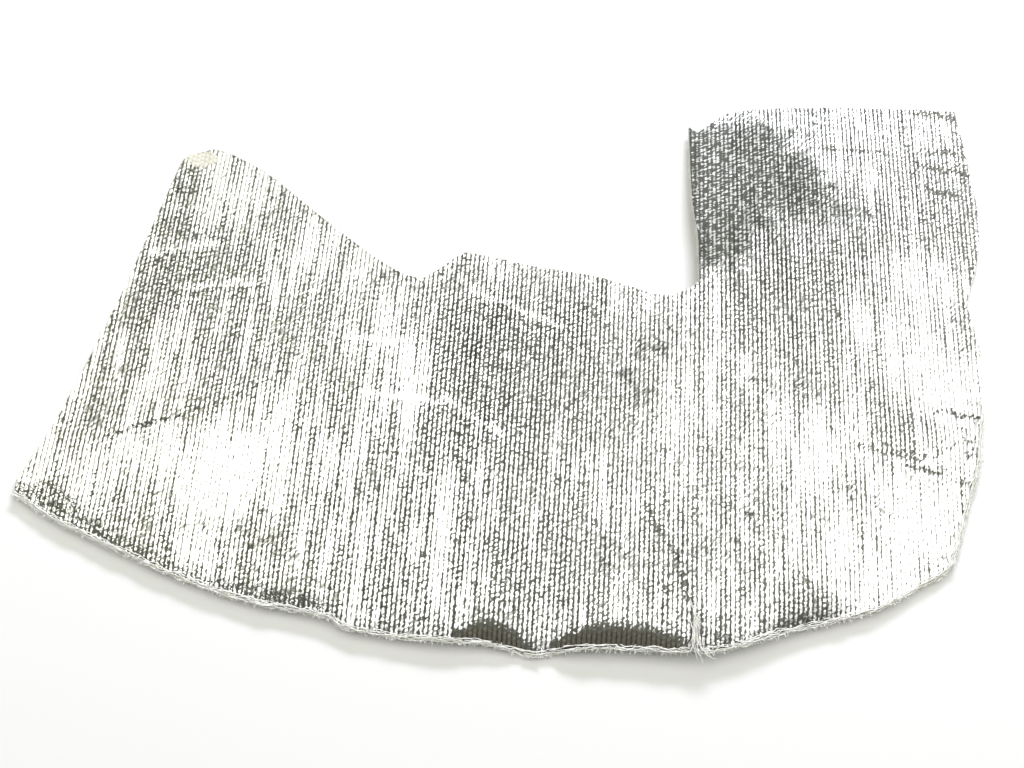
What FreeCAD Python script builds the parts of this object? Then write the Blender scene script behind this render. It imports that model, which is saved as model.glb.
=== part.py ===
import FreeCAD
import Part

import math
import os

# Heat shield: one sheet of corded glass cloth with a bonded foil face, cut by hand to an irregular
# outline and lying corded face up. X runs across the cords, Y along them and Z up from the surface
# that the sheet lies on. All sizes are in millimetres.

# Cloth. One ridge stands for two neighbouring cords, and the thickness is taken at a valley.
cloth_thickness = 1.7
ridge_height = 0.7
ridge_pitch = 4.8

# Left tip, cut off blunt.
tip_x = -252.0
tip_y = -95.0
tip_blunt = 6.0

# Front edge: a small torn step, the dip that touches down, the slit's mouth and the right corner.
step_x = -82.0
step_y = -150.0
step_width = 7.0
step_depth = 4.0
dip_x = 19.0
dip_y = -161.0
slit_y = -155.0
slit_depth = 15.0
corner_x = 224.0
corner_y = -103.0

# Left wing's peak, with its short top edge, and the slope down from it to the bay.
peak_x = -198.0
peak_y = 105.0
peak_width = 17.0
peak_rise = 5.0
saddle_x = -55.0
saddle_y = 32.0
bump_x = -31.0
bump_y = 49.0

# Bay and ear. The ear's left edge stands over the slit, and a nick leaves a spike at its top corner.
bay_y = 41.0
bay_round = 10.0
ear_left_x = 96.0
ear_top_y = 167.0
ear_shoulder = 12.0
spike_y = 144.0
nick_width = 5.0
nick_depth = 4.0
right_x = 246.0
right_foot_y = -22.0

# Lie of the sheet: a low dome, the slope by which its left side sinks until it rests, how far the front
# edge lifts at places across the sheet, and the lips that turn down there, each with its place, half
# width and drop.
dome_rise = 13.0
dome_half_length = 252.0
dome_half_depth = 174.0
settle_slope = 0.003
front_reach = 75.0
front_lift = [(tip_x, 3.0), (-150.0, 1.0), (-60.0, 1.5), (-4.0, 4.5), (dip_x, -1.4), (45.0, 7.5), (78.0, 7.0)]
front_lift += [(ear_left_x, 4.0), (150.0, 3.0), (200.0, -1.0), (right_x, -1.0)]
lip_reach = 14.0
lips = [(-4.0, 24.0, 3.0), (58.0, 46.0, 4.2), (150.0, 36.0, 3.2)]

# Creases, each a soft ridge along a line, and the fold that stands up at the right edge.
crease_rise = 1.4
crease_half_width = 22.0
slit_fold_rise = 1.8
slit_fold_half_width = 18.0
edge_fold_rise = 3.2
edge_fold_half_width = 24.0
edge_fold_reach = 75.0
edge_fold_y = -40.0
left_crease = ((-215.0, -66.0), (-97.0, -18.0))
slit_fold = ((70.0, -85.0), (ear_left_x, slit_y + slit_depth))

# How far inward the wander of the right edge and of the ear's left edge bends the cords.
right_wander_reach = 40.0
ear_wander_reach = 24.0


def run(start, end, bows):
    """Points between two corners, each at a share of the way and set off along the cords by its bow."""
    span = (end[0] - start[0], end[1] - start[1])
    return [(start[0] + span[0] * share, start[1] + span[1] * share + bow) for share, bow in bows]


# Front edge from the left tip to the foot of the right edge.
tip_front = (tip_x, tip_y - tip_blunt / 2)
step_start = (step_x, step_y)
step_end = (step_x + step_width, step_y - step_depth)
dip = (dip_x, dip_y)
slit_mouth = (ear_left_x, slit_y)
corner = (corner_x, corner_y)
right_foot = (right_x, right_foot_y)
tip_bows = [(0.15, -5.0), (0.31, -7.0), (0.57, -9.0), (0.79, -6.5)]
front_outline = [tip_front] + run(tip_front, step_start, tip_bows)
front_outline += [step_start, step_end] + run(step_end, dip, [(0.35, -1.0), (0.75, 2.0)])
front_outline += [dip] + run(dip, slit_mouth, [(0.16, 2.0), (0.44, 2.5)])
front_outline += [slit_mouth] + run(slit_mouth, corner, [(0.34, -5.0), (0.71, -9.0), (0.87, -5.0)])
front_outline += [corner] + run(corner, right_foot, [(0.36, -1.0), (0.73, -12.0)]) + [right_foot]

# Back edge from the left tip, up the left wing and along the bay to the ear.
tip_back = (tip_x, tip_y + tip_blunt / 2)
peak = (peak_x, peak_y)
peak_end = (peak_x + peak_width, peak_y + peak_rise)
saddle = (saddle_x, saddle_y)
bump = (bump_x, bump_y)
bay_corner = (ear_left_x, bay_y)
bay_floor = (ear_left_x - 2 * bay_round, bay_y - bay_round)
back_outline = [tip_back] + run(tip_back, peak, [(0.2, -14.0), (0.36, -14.0), (0.6, -16.0), (0.86, -3.0)])
back_outline += [peak, peak_end] + run(peak_end, saddle, [(0.17, 5.0), (0.57, -1.0), (0.87, -4.0)])
back_outline += [saddle, bump] + run(bump, bay_floor, [(0.4, 0.9), (0.6, 2.4), (0.8, 1.6)])
back_outline += [bay_floor, (ear_left_x - bay_round, bay_y - 0.8 * bay_round), bay_corner]

# Ear's top edge, from the spike over the nick to the right corner.
nick = (ear_left_x + nick_width, spike_y - nick_depth)
ear_shoulder_end = (nick[0] + ear_shoulder, ear_top_y - ear_shoulder)
ear_corner = (right_x, ear_top_y)
ear_outline = [(ear_left_x, spike_y), nick, ear_shoulder_end]
ear_outline += run(ear_shoulder_end, ear_corner, [(0.1, 3.0), (0.47, 4.0), (0.85, 1.5)]) + [ear_corner]

# Wander of the right edge and of the ear's left edge: places along the cords and the sideways shifts.
right_wander = [(right_foot_y, 0.0), (15.0, 2.0), (44.0, -3.0), (60.0, 3.0), (95.0, 8.0), (130.0, 5.0)]
right_wander += [(ear_top_y, 0.0)]
ear_left_wander = [(bay_y, 0.0), (71.0, -1.0), (91.0, -4.0), (114.0, -5.0), (spike_y, -6.0)]


def eased(points, at):
    """Value at one place on a smooth line through the points, which never overshoots them."""
    if at <= points[0][0]:
        return points[0][1]
    if at >= points[-1][0]:
        return points[-1][1]
    steps = [b[0] - a[0] for a, b in zip(points, points[1:])]
    slopes = [(b[1] - a[1]) / step for a, b, step in zip(points, points[1:], steps)]
    turns = [2 * a * b / (a + b) if a * b > 0 else 0.0 for a, b in zip(slopes, slopes[1:])]
    tangents = [slopes[0]] + turns + [slopes[-1]]
    i = max(k for k in range(len(steps)) if points[k][0] <= at)
    t = (at - points[i][0]) / steps[i]
    start = points[i][1] * (1 + 2 * t) * (1 - t) ** 2 + tangents[i] * steps[i] * t * (1 - t) ** 2
    end = points[i + 1][1] * t * t * (3 - 2 * t) + tangents[i + 1] * steps[i] * t * t * (t - 1)
    return start + end


def fading(distance, reach):
    """1 at no distance, falling to 0 at the reach, level at both ends."""
    share = min(abs(distance) / reach, 1.0)
    return (1 - share * share) ** 2


def curling(distance, reach):
    """1 at no distance, falling to 0 at the reach, steepest at the start."""
    return (1 - min(abs(distance) / reach, 1.0)) ** 2


def distance_to(line, x, y):
    """Plan distance from a place to a straight line between two points."""
    (ax, ay), (bx, by) = line
    along = ((x - ax) * (bx - ax) + (y - ay) * (by - ay)) / ((bx - ax) ** 2 + (by - ay) ** 2)
    along = min(max(along, 0.0), 1.0)
    return math.hypot(x - ax - along * (bx - ax), y - ay - along * (by - ay))


def lie(x, y):
    """Height of the cloth's valleys at one place of the sheet as it lies."""
    dome = dome_rise * (1 - (x / dome_half_length) ** 2) * (1 - (y / dome_half_depth) ** 2)
    from_front = y - eased(front_outline, x)
    lift = eased(front_lift, x) * fading(from_front, front_reach)
    turned = sum(drop * fading(x - middle, half_width) for middle, half_width, drop in lips)
    lip = turned * curling(from_front, lip_reach)
    crease = crease_rise * fading(distance_to(left_crease, x, y), crease_half_width)
    slit_ridge = slit_fold_rise * fading(distance_to(slit_fold, x, y), slit_fold_half_width)
    edge_fold = edge_fold_rise * fading(y - edge_fold_y, edge_fold_half_width)
    edge_fold *= fading(right_x - x, edge_fold_reach)
    settled = settle_slope * (x - right_x)
    return cloth_thickness + dome + settled + lift - lip + crease + slit_ridge + edge_fold


def bent(x, y):
    """Place across the sheet of a cord that follows the wander of the right edge and of the ear."""
    right = eased(right_wander, y) * fading(right_x - x, right_wander_reach)
    left = eased(ear_left_wander, y) * fading(x - ear_left_x, ear_wander_reach)
    return x + right + left


def cord_line(x, start, end, spans, bunching, rise):
    """Curve along one cord, from the front to the back, at a height over the valleys."""
    points = []
    for i in range(spans + 1):
        y = start + (end - start) * (i / spans) ** bunching
        points.append(FreeCAD.Vector(bent(x, y), y, lie(x, y) + rise))
    curve = Part.BSplineCurve()
    curve.interpolate(points)
    return curve.toShape()


def body_line(x, rise):
    """Cord line of the body, from the front edge to the back edge or to the level of the bay.

    Its points crowd towards the lip, and the cord over the slit starts at the slit's inner end.
    """
    front = eased(front_outline, x)
    if abs(x - ear_left_x) < ridge_pitch / 4:
        front += slit_depth
    return cord_line(x, front, eased(back_outline, x), 21, 1.5, rise)


def ear_line(x, rise):
    """Cord line of the ear, from the level of the bay to the ear's top edge."""
    return cord_line(x, bay_y, eased(ear_outline, x), 11, 1.0, rise)


def places(start, end):
    """Valleys and crests in turn across one stretch of the sheet, with a valley at both ends."""
    ridges = max(round((end - start) / ridge_pitch), 1)
    return [start + (end - start) * k / (2 * ridges) for k in range(2 * ridges + 1)]


def patch(xs, slit, line_at):
    """Upper cord lines, at valleys and crests, and the back's lines by the number of their valley.

    The back is plain, so it has a line under every second valley, and under the three at the slit.
    """
    top = [line_at(x, ridge_height * (k % 2)) for k, x in enumerate(xs)]
    ridges = len(xs) // 2
    kept = [k for k in range(ridges + 1) if (k - slit) % 2 or k in (0, slit, ridges)]
    return top, {k: line_at(xs[2 * k], -cloth_thickness) for k in kept}


def end_point(line, last):
    """First or last point of a cord line."""
    return line.valueAt(line.LastParameter if last else line.FirstParameter)


def triangle(a, b, c):
    """Flat face on three points."""
    return Part.Face(Part.makePolygon([a, b, c, a]))


def end_walls(top, back, last):
    """Cut edge across the ends of the cord lines: a gable on each ridge, and the cloth's edge below."""
    faces = []
    for first, second in zip(sorted(back), sorted(back)[1:]):
        left = end_point(back[first], last)
        right = end_point(back[second], last)
        for k in range(first, second):
            valley, crest, next_valley = [end_point(line, last) for line in top[2 * k:2 * k + 3]]
            faces.append(triangle(valley, crest, next_valley))
            faces.append(triangle(valley, next_valley, left))
        faces.append(triangle(next_valley, right, left))
    return faces


def strips(lines):
    """Surface that spans the lines in turn."""
    return [Part.makeRuledSurface(a, b) for a, b in zip(lines, lines[1:])]


def heat_shield():
    """The whole sheet as one solid, with its origin at the bottom centre of its box."""
    wing_xs = places(tip_x, ear_left_x)
    ear_xs = places(ear_left_x, right_x)
    slit = len(wing_xs) // 2
    body_top, body_back = patch(wing_xs + ear_xs[1:], slit, body_line)
    ear_top, ear_back = patch(ear_xs, 0, ear_line)
    wing_top = body_top[:2 * slit + 1]
    wing_back = {k: line for k, line in body_back.items() if k <= slit}

    faces = end_walls(body_top, body_back, False)
    faces += end_walls(wing_top, wing_back, True)
    faces += end_walls(ear_top, ear_back, True)
    for top, back in ((body_top, body_back), (ear_top, ear_back)):
        under = [back[k] for k in sorted(back)]
        faces += strips(top) + strips(under)
        faces += strips([top[0], under[0]])
        faces += strips([top[-1], under[-1]])

    skin = Part.Compound(faces)
    skin.sewShape()
    sheet = Part.Solid(skin.Shells[0])
    if sheet.Volume < 0:
        sheet.reverse()
    box = sheet.optimalBoundingBox()
    sheet.translate(FreeCAD.Vector(-box.Center.x, -box.Center.y, -box.ZMin))
    return sheet


os.makedirs("parts", exist_ok=True)
shield = heat_shield()
shield.exportStep("parts/heat_shield.step")
print("valid", shield.isValid(), "volume", round(shield.Volume), "faces", len(shield.Faces))
print("box", shield.optimalBoundingBox())
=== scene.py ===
"""Heat shield: a hand-cut sheet of corded glass cloth with a bonded foil face, lying on a pale floor."""

import math

import bpy
import numpy as np
from bpy.props import FloatProperty, FloatVectorProperty, IntProperty, PointerProperty
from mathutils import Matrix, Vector
from mathutils.bvhtree import BVHTree
from mathutils.kdtree import KDTree


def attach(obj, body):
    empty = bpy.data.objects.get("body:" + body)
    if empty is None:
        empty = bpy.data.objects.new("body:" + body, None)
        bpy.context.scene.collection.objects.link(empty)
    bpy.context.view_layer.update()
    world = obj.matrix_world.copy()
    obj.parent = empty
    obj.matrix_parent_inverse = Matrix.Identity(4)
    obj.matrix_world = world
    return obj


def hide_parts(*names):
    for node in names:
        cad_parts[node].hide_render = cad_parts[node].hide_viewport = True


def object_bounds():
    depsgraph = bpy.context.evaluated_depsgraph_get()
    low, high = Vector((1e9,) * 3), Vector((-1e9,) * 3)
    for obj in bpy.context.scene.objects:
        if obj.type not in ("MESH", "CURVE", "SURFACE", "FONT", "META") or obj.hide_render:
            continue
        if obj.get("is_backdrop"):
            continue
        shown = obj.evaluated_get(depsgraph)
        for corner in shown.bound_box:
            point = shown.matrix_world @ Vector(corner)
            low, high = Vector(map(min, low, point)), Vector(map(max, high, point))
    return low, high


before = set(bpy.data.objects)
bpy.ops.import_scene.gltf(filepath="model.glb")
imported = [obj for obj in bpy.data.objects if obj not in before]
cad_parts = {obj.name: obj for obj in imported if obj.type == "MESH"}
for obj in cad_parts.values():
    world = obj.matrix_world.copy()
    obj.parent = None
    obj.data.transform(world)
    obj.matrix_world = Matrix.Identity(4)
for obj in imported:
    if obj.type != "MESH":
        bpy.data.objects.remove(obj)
cad_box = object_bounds()

bl_info = {
    "name": "Heat Shield",
    "version": (1, 0, 0),
    "blender": (4, 5, 0),
    "location": "3D View > Sidebar > Heat Shield",
    "description": "Lays a foil-faced sheet of corded glass cloth on its CAD solid",
    "category": "Add Mesh",
}

# Spots where the valleys between the cords are pressed shut (below 0) or stand open (above 0), which lowers or
# raises the cords and narrows or widens the painted shade in the valleys: place across and along, radius, and how
# far.
VALLEY_SPOTS = (
    (0.215, -0.090, 0.100, -0.50), (0.228, 0.005, 0.080, -0.36), (0.246, -0.040, 0.030, -0.50),
    (0.130, -0.060, 0.060, -0.08), (-0.150, -0.085, 0.055, -0.55), (-0.205, -0.070, 0.045, -0.12),
    (-0.095, 0.030, 0.045, -0.15), (-0.165, 0.085, 0.055, -0.12), (0.005, 0.056, 0.048, -0.70),
    (0.203, -0.033, 0.032, 0.60), (0.000, -0.012, 0.072, 1.00), (-0.176, 0.032, 0.042, 0.50),
    (-0.197, 0.082, 0.018, 0.70), (-0.197, 0.056, 0.016, 0.45), (-0.197, 0.026, 0.020, 0.60),
    (-0.204, 0.006, 0.018, 0.70), (-0.212, 0.024, 0.010, -0.50), (0.140, 0.050, 0.070, 0.80),
    (0.200, 0.090, 0.060, 0.25), (0.020, -0.110, 0.070, 0.25), (-0.035, -0.120, 0.055, 0.12),
    (-0.020, -0.065, 0.050, 0.16), (0.152, -0.140, 0.026, 0.85), (0.106, -0.150, 0.014, 0.60),
    (-0.055, -0.060, 0.050, 0.10),
)

# Spots where the foil is rougher and painted with shade, as where it faces away from the light, with its weave
# in painted glints: place, radius, and how dull and shaded.
DULL_AND_SHADE_SPOTS = (
    (0.102, 0.130, 0.045, 0.70), (0.102, 0.098, 0.050, 0.75), (0.108, 0.066, 0.042, 0.65),
    (0.136, 0.122, 0.050, 0.60), (0.150, 0.092, 0.050, 0.40), (0.180, 0.098, 0.040, 0.20),
    (-0.010, 0.000, 0.062, 0.10), (-0.180, 0.032, 0.030, 0.16),
)

# How crumpled the foil is at each stretch of the cut edge, which dents it and adds painted shade there: front,
# right, ear's right, ear's top, ear's left, back and tip; and how that changes along the front, as places across
# the sheet with a share.
RIM_HANDLING = (1.0, 0.10, 0.20, 0.30, 0.60, 0.12, 1.1)
FRONT_HANDLING = (
    (-0.250, 1.6), (-0.225, 1.4), (-0.195, 0.75), (-0.090, 0.85), (-0.075, 0.45), (0.090, 0.35), (0.105, 0.7),
    (0.160, 0.55), (0.180, 0.0),
)

# Stretches of the front edge that curl down, with their own shade painted on: place across, half width, depth.
LIPS = ((-0.0035, 0.0200, 0.0095), (0.0580, 0.0360, 0.0105))

# Sharp creases in the foil, as lines in plan with their width and depth in millimetres, and how far they widen
# the painted shade in the valleys along them (above 0) or clear it (below 0).
CREASES = (
    ((-0.2141, -0.0692), (-0.2049, -0.0666), 1.6, 0.30, 0.5),
    ((-0.2049, -0.0666), (-0.1722, -0.0553), 1.8, 0.50, 0.8),
    ((-0.1722, -0.0553), (-0.0992, -0.0183), 1.6, 0.25, 0.3),
    ((0.0690, -0.0880), (0.0840, -0.1140), 2.2, 0.45, 0.4),
    ((0.0840, -0.1140), (0.0930, -0.1380), 2.2, 0.55, 0.5),
    ((0.2176, -0.0257), (0.2290, -0.0261), 1.6, 0.40, 0.8),
    ((0.2290, -0.0261), (0.2439, -0.0268), 2.2, 0.55, 1.1),
    ((0.2304, -0.0339), (0.2362, -0.0355), 2.4, 0.40, 0.9),
    ((0.2252, -0.0459), (0.2401, -0.0396), 1.5, 0.35, 0.8),
    ((0.1777, -0.0488), (0.1980, -0.0508), 2.6, 0.35, 0.7),
    ((0.1990, -0.0515), (0.2116, -0.0525), 2.8, 0.35, 0.9),
    ((0.2040, -0.0569), (0.2205, -0.0603), 1.8, 0.50, 1.1),
    ((0.2278, -0.0617), (0.2383, -0.0619), 1.6, 0.40, 0.9),
    ((0.2360, -0.0500), (0.2418, -0.0570), 2.6, 0.30, 0.6),
    ((0.2242, 0.1360), (0.2484, 0.1334), 3.0, 0.40, 0.8),
    ((0.2211, 0.1248), (0.2486, 0.1214), 3.0, 0.45, 0.9),
    ((0.2240, 0.1096), (0.2433, 0.1056), 3.2, 0.30, 0.7),
    ((0.2210, 0.1625), (0.2440, 0.1600), 4.5, 0.40, 0.9),
    ((0.1672, 0.1323), (0.2013, 0.1312), 2.6, 0.30, 0.7),
    ((-0.0930, -0.0080), (-0.0600, -0.0090), 3.0, -0.15, -0.70),
    ((-0.0790, -0.0380), (-0.0350, -0.0400), 3.2, -0.15, -0.70),
    ((-0.0350, -0.0400), (-0.0060, -0.0570), 3.2, -0.15, -0.70),
    ((-0.0280, 0.0240), (0.0220, 0.0060), 3.0, -0.15, -0.70),
    ((-0.2060, 0.0400), (-0.1725, 0.0456), 4.2, -0.15, -0.75),
    ((-0.1834, 0.0180), (-0.1486, 0.0235), 3.6, -0.15, -0.65),
)

DEEP_CREASE = 0.45  # creases from this depth on also dent the foil

# Loose yarn along the front edge, as distances out from it and up from its middle.
FRONT_STRANDS = (
    (-0.0012, 0.0010), (-0.0006, 0.0013), (-0.0001, 0.0012), (0.0003, 0.0009), (0.0007, 0.0006), (0.0011, 0.0002),
)

# Loose yarn at the slit, as the points of each strand in plan and their height over the foil.
SLIT_STRANDS = (
    ((0.0915, -0.1335, 0.0006), (0.0935, -0.1420, 0.0009), (0.0945, -0.1500, 0.0008), (0.0965, -0.1590, 0.0002)),
    ((0.0935, -0.1370, 0.0006), (0.0950, -0.1450, 0.0011), (0.0940, -0.1540, 0.0010), (0.0955, -0.1620, 0.0000)),
    ((0.0950, -0.1410, 0.0004), (0.0940, -0.1480, 0.0009), (0.0962, -0.1545, 0.0008), (0.1005, -0.1590, 0.0004)),
    ((0.0945, -0.1500, 0.0006), (0.0970, -0.1560, 0.0010), (0.1010, -0.1600, 0.0007), (0.1050, -0.1612, 0.0003)),
    ((0.0925, -0.1450, 0.0006), (0.0930, -0.1510, 0.0010), (0.0950, -0.1580, 0.0007), (0.0985, -0.1635, 0.0000)),
)


# Fibres at the front edge and at the other edges: depth in the cloth, rise, length and freedom, as shares.
FRONT_FRAY = (0.05, 0.1, 1.0, 1.0)
SIDE_FRAY = (0.35, -0.1, 0.55, 0.8)
FIBRE_BENDS = ((0.30, 0.05), (-0.26, 0.22), (0.12, -0.20))  # bow and climb of each kind of fibre
STRAND_WAVER = 0.0042  # how far a loose strand strays
STRAND_STEP = 0.0011  # distance between its points

YARN_CLEARANCE = 0.0001  # least height of yarn over the floor
STRAND_CLEARANCE = 0.0008  # least height of the middle of a strand at the slit
BACK_CLEARANCE = 0.00005  # least height of the cloth's back over the floor

LIP_SHADE = (0.055, 0.052, 0.042, 1.0)
# Colour of the painted warm light on the left of the foil.
WARM_LIGHT_TINT = (0.98, 0.97, 0.86, 1.0)
BARE_SHADE = (0.50, 0.50, 0.36, 1.0)
THREAD_SHADE = (0.52, 0.51, 0.43, 1.0)
STAIN = (0.66, 0.63, 0.50, 1.0)
YARN_LIGHT = (0.97, 0.965, 0.94, 1.0)
YARN_SHADE = (0.90, 0.89, 0.83, 1.0)

BARE_SPOT = (-0.1895, 0.1010)  # middle of the bare cloth at the peak
RIM_REACH = 0.014  # how far the crumpling of a cut edge reaches in
RIGHT_TOP, RIGHT_REACH = 0.163, 0.024  # top of the right edge, and how far in the cords follow it
EAR_TOP, EAR_REACH = 0.1355, 0.018  # the same for the ear's left edge
SHARP_ANGLE = math.radians(52.0)
LAMP_POWER = 4.0  # watts from a square metre of a lamp at level 1
FLOOR_FADE = (0.6, 1.8)  # distances between which the floor fades into the backdrop


def metres(name, description, default):
    """Property that is a length."""
    return FloatProperty(name=name, description=description, default=default, unit="LENGTH", precision=5)


def paint(name, description, default):
    """Property that is a colour."""
    return FloatVectorProperty(name=name, description=description, default=default, subtype="COLOR")


class ClothSettings(bpy.types.PropertyGroup):
    """Sizes and colours of the foil-faced cloth, painted shade among them."""

    cord_pitch: metres("Cord pitch", "Distance from one cord to the next", 0.0024)
    cord_height: metres("Cord height", "Rise of a cord over the valley beside it", 0.00030)
    cord_lean: metres("Cord lean", "How far single cords lean to one side", 0.00014)
    crinkle: metres("Crinkle", "Height of the soft dents in the foil", 0.0005)
    thickness: metres("Thickness", "Cloth at a valley", 0.0017)
    weft_pitch: metres("Weft pitch", "Distance between the threads across the cords", 0.0028)
    columns: IntProperty(name="Columns", description="Columns of faces on each cord", default=6, min=4)
    body_rows: IntProperty(name="Body rows", description="Rows of faces from front to back", default=54, min=8)
    ear_rows: IntProperty(name="Ear rows", description="Rows of faces up the ear", default=28, min=4)
    tip_level: metres("Tip level", "Place of the left tip along the cords", -0.098)
    foot_level: metres("Foot level", "Where the right edge starts", -0.0245)
    bay_level: metres("Bay level", "Where the ear leaves the body", 0.0380)
    ear_left: metres("Ear's left edge", "Place of the ear's left edge at the bay", 0.0950)
    foil_colour: paint("Foil", "Clean foil", (0.78, 0.78, 0.765))
    # Painted shade in the valleys between the cords, and over the foil where it faces away from the light.
    painted_shade_colour: paint("Dull foil", "Foil in the valleys between the cords", (0.074, 0.076, 0.065))
    # Painted glints on the weave: lighter strokes within the painted shade where the foil faces away from the
    # light.
    shaded_weave_colour: paint("Weave", "Foil that has gone dull over the weave", (0.28, 0.284, 0.266))
    # Painted shade on the front edge where it curls down.
    lip_shade_colour: paint("Lip", "Foil where the front edge curls down", (0.125, 0.118, 0.092))
    cloth_colour: paint("Cloth", "Bare glass cloth", (0.80, 0.78, 0.70))
    seed: IntProperty(name="Seed", description="Start of every random choice", default=7)


class FraySettings(bpy.types.PropertyGroup):
    """Sizes of the yarn that stands out of the cut edges."""

    length: metres("Fibre length", "Longest of the fibres at the cut edge", 0.0030)
    spacing: metres("Fibre spacing", "Distance between fibres on the edge", 0.0004)
    radius: metres("Fibre radius", "Half the thickness of a fibre", 0.00020)
    yarn_radius: metres("Yarn radius", "Half the thickness of a loose strand", 0.00036)


class StageSettings(bpy.types.PropertyGroup):
    """Floor, light and camera."""

    floor_colour: paint("Floor", "Pale floor", (0.93, 0.93, 0.925))
    room_colour: paint("Room", "Dim light from all round", (0.125, 0.13, 0.12))
    backdrop_colour: paint("Backdrop", "Pale surroundings that the foil mirrors", (0.88, 0.885, 0.88))
    key_level: FloatProperty(name="Key level", description="Brightness of the large lamp overhead", default=1.42)
    back_level: FloatProperty(name="Back level", description="Brightness of the low lamp at the back", default=33.5)
    key_colour: paint("Key colour", "Colour of the large lamp", (1.0, 1.0, 0.935))
    back_colour: paint("Back colour", "Colour of the low lamp", (0.88, 0.89, 1.0))
    camera_place: FloatVectorProperty(
        name="Camera", description="Place of the camera", default=(0.0114, -0.2323, 0.5490), subtype="TRANSLATION"
    )
    camera_azimuth: FloatProperty(
        name="Azimuth", description="Turn of the view about the vertical", default=math.radians(3.8552),
        subtype="ANGLE",
    )
    camera_elevation: FloatProperty(
        name="Elevation", description="Angle that the view looks down at", default=math.radians(69.1224),
        subtype="ANGLE",
    )
    lens: FloatProperty(name="Lens", description="Focal length in millimetres on a 36 mm frame", default=38.67)


class Value:
    """A node's socket; arithmetic on it adds Math nodes."""

    def __init__(self, tree, socket):
        self.tree = tree
        self.socket = socket

    def math(self, operation, *others):
        """One Math node on this value and the others."""
        return self.tree.output("ShaderNodeMath", {"operation": operation}, dict(enumerate((self, *others))))

    def clamp(self, low, high):
        """This value held between two others."""
        return self.math("MINIMUM", high).math("MAXIMUM", low)

    def __add__(self, other):
        return self.math("ADD", other)

    __radd__ = __add__

    def __sub__(self, other):
        return self.math("SUBTRACT", other)

    def __rsub__(self, other):
        return (self * -1.0) + other

    def __mul__(self, other):
        return self.math("MULTIPLY", other)

    def __truediv__(self, other):
        return self.math("DIVIDE", other)

    def __pow__(self, other):
        return self.math("POWER", other)

    def __abs__(self):
        return self.math("ABSOLUTE")


class Tree:
    """Adds nodes to one node tree."""

    def __init__(self, nodes, links):
        self.nodes = nodes
        self.links = links

    def add(self, kind, settings=None, sockets=None):
        """One node with its settings and sockets."""
        node = self.nodes.new(kind)
        for name, value in (settings or {}).items():
            setattr(node, name, value)
        self.feed(node, sockets or {})
        return node

    def feed(self, node, sockets):
        """Sets or links sockets of a node by name or number."""
        for name, value in sockets.items():
            if isinstance(value, Value):
                value = value.socket
            if isinstance(value, bpy.types.NodeSocket):
                self.links.new(value, node.inputs[name])
            else:
                node.inputs[name].default_value = value

    def output(self, kind, settings=None, sockets=None, out=0):
        """One output of a new node."""
        return Value(self, self.add(kind, settings, sockets).outputs[out])

    def parts(self, vector):
        """The three numbers of a vector."""
        return [Value(self, socket) for socket in self.add("ShaderNodeSeparateXYZ", sockets={0: vector}).outputs]

    def vector(self, *parts):
        """Vector of up to three numbers."""
        return self.output("ShaderNodeCombineXYZ", sockets=dict(enumerate(parts)))

    def smooth(self, value, low, high):
        """0 below low and 1 above high, eased between."""
        settings = {"interpolation_type": "SMOOTHSTEP"}
        return self.output("ShaderNodeMapRange", settings, {"Value": value, "From Min": low, "From Max": high})

    def mix_number(self, factor, first, second):
        """Number between two others."""
        return self.output("ShaderNodeMix", {"data_type": "FLOAT"}, {0: factor, 2: first, 3: second})

    def mix(self, factor, first, second, blend="MIX"):
        """Colour between two others."""
        settings = {"data_type": "RGBA", "blend_type": blend}
        return self.output("ShaderNodeMix", settings, {0: factor, 6: first, 7: second}, out=2)

    def place(self):
        """Place on the object."""
        return self.output("ShaderNodeTexCoord", out="Object")

    def noise(self, place, scale, detail, out=0):
        """Noise from 0 to 1 at a place."""
        sockets = {"Vector": place, "Scale": scale, "Detail": detail}
        return self.output("ShaderNodeTexNoise", sockets=sockets, out=out)

    def flat_noise(self, first, second, detail=1.0):
        """Noise from 0 to 1 at two numbers."""
        sockets = {"Vector": self.vector(first, second), "Scale": 1.0, "Detail": detail}
        return self.output("ShaderNodeTexNoise", {"noise_dimensions": "2D"}, sockets)

    def painted(self, name):
        """Number that the mesh holds, for a material."""
        return self.output("ShaderNodeAttribute", {"attribute_name": name}, out="Fac")

    def field(self, name, kind="FLOAT"):
        """What the mesh holds, for a geometry tree."""
        return self.output("GeometryNodeInputNamedAttribute", {"data_type": kind}, {"Name": name})


def surface(name):
    """New material, its tree and its Principled shader."""
    material = bpy.data.materials.new(name)
    material.use_nodes = True
    tree = Tree(material.node_tree.nodes, material.node_tree.links)
    return material, tree, tree.nodes["Principled BSDF"]


def rgb(colour):
    """Colour with full opacity, as sockets take it."""
    return (*colour, 1.0)


def near_line(x, y, start, end):
    """Distance in millimetres from a place in plan to a straight line between two points."""
    dx, dy = end[0] - start[0], end[1] - start[1]
    reach = dx * dx + dy * dy
    share = ((x - start[0]) * (dx / reach) + (y - start[1]) * (dy / reach)).clamp(0.0, 1.0)
    off_x = x - start[0] - share * dx
    off_y = y - start[1] - share * dy
    return (off_x * off_x + off_y * off_y).math("SQRT") * 1000.0


def cord_fields(tree, cloth):
    """Numbers that follow the cords: place across and along, share of the crown, and the waves of the weft."""
    across, along = tree.painted("across"), tree.painted("along")
    cord = across.math("FLOOR")
    crown = 1.0 - abs((across - cord) * 2.0 - 1.0) ** 2.0
    turn = tree.flat_noise(cord * 2.71, along * 0.11, 0.0)
    weft = along / (cloth.weft_pitch * 1000.0) + cord * 0.37 + turn * 1.1
    return across, along, crown, (weft * math.tau).math("COSINE")


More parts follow.
